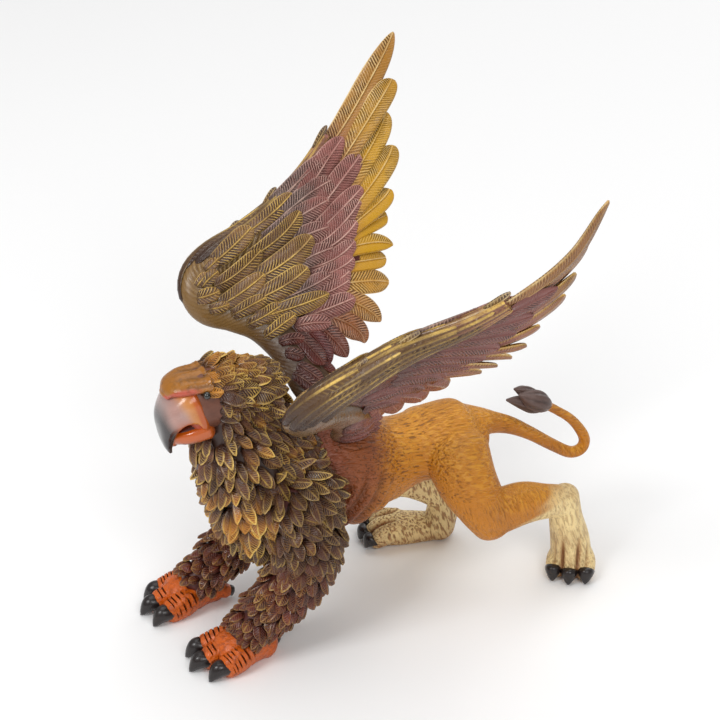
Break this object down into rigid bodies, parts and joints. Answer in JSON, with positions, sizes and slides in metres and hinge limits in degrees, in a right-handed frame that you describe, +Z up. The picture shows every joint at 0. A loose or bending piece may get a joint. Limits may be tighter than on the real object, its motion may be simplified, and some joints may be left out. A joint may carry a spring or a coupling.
{
  "type": "griffin figurine",
  "caption": "Griffin figurine with an eagle's head, mane and forefeet on a lion's body, stalking forward with both wings raised.",
  "frame": {"origin": "on the ground, under the middle of the whole figurine's box", "axes": "+Z up, -Y the way the griffin faces, +X its left side"},
  "size_m": [0.115, 0.1236, 0.1337],
  "materials": {
    "body": "hand-painted vinyl with a satin sheen",
    "wing": "hand-painted vinyl with a satin sheen"
  },
  "bodies": {
    "root": {"figure": "body", "left_wing": "wing", "right_wing": "wing"}
  },
  "joints": []
}
